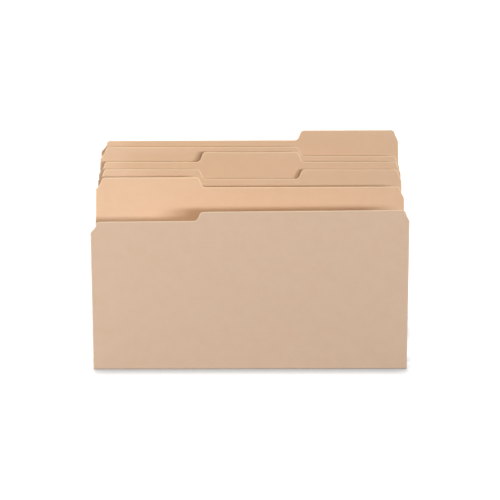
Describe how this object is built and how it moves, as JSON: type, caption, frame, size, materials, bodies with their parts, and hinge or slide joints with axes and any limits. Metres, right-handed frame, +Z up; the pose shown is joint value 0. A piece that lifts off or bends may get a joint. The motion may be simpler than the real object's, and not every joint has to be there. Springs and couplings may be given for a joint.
{
  "type": "manila file folder set",
  "caption": "Manila card file folders standing open one behind another, each with a flat scored base, a cut-away front flap and a back flap with a tab, the tabs staggered across the set.",
  "frame": {"origin": "on the table, under the middle of the set's bounding box", "axes": "+X to the right along the folds, +Y from the front folder to the rear folder, +Z up"},
  "size_m": [0.3746, 0.3706, 0.209],
  "materials": {
    "manila_card": "matte card"
  },
  "bodies": {
    "front_folder_base": {"front_folder_base": "manila_card"},
    "front_folder_front_flap": {"front_folder_front_flap": "manila_card"},
    "front_folder_back_flap": {"front_folder_back_flap": "manila_card"},
    "middle_folder_base": {"middle_folder_base": "manila_card"},
    "middle_folder_front_flap": {"middle_folder_front_flap": "manila_card"},
    "middle_folder_back_flap": {"middle_folder_back_flap": "manila_card"},
    "rear_folder_base": {"rear_folder_base": "manila_card"},
    "rear_folder_front_flap": {"rear_folder_front_flap": "manila_card"},
    "rear_folder_back_flap": {"rear_folder_back_flap": "manila_card"}
  },
  "joints": [
    {"name": "front_folder_lift", "type": "slide", "parent": "rear_folder_base", "child": "front_folder_base", "axis": [0, 0.521, 0.8536], "range_m": [0, 0.3]},
    {"name": "front_folder_front_crease", "type": "hinge", "parent": "front_folder_base", "child": "front_folder_front_flap", "pos_m": [0, -0.14493, 0.00014], "axis": [-1, 0, 0], "range_deg": [-79.1, 23.5]},
    {"name": "front_folder_back_crease", "type": "hinge", "parent": "front_folder_base", "child": "front_folder_back_flap", "pos_m": [0, -0.12588, 0.00014], "axis": [-1, 0, 0], "range_deg": [-20, 5]},
    {"name": "middle_folder_lift", "type": "slide", "parent": "rear_folder_base", "child": "middle_folder_base", "axis": [0, 0.5299, 0.848], "range_m": [0, 0.3]},
    {"name": "middle_folder_front_crease", "type": "hinge", "parent": "middle_folder_base", "child": "middle_folder_front_flap", "pos_m": [0, -0.03738, 0.00014], "axis": [-1, 0, 0], "range_deg": [-13, 3.5]},
    {"name": "middle_folder_back_crease", "type": "hinge", "parent": "middle_folder_base", "child": "middle_folder_back_flap", "pos_m": [0, -0.01833, 0.00014], "axis": [-1, 0, 0], "range_deg": [-2, 3.5]},
    {"name": "rear_folder_front_crease", "type": "hinge", "parent": "rear_folder_base", "child": "rear_folder_front_flap", "pos_m": [0, 0.04847, 0.00014], "axis": [-1, 0, 0], "range_deg": [-3.5, 6.5]},
    {"name": "rear_folder_back_crease", "type": "hinge", "parent": "rear_folder_base", "child": "rear_folder_back_flap", "pos_m": [0, 0.06752, 0.00014], "axis": [-1, 0, 0], "range_deg": [-2, 59.5]}
  ]
}
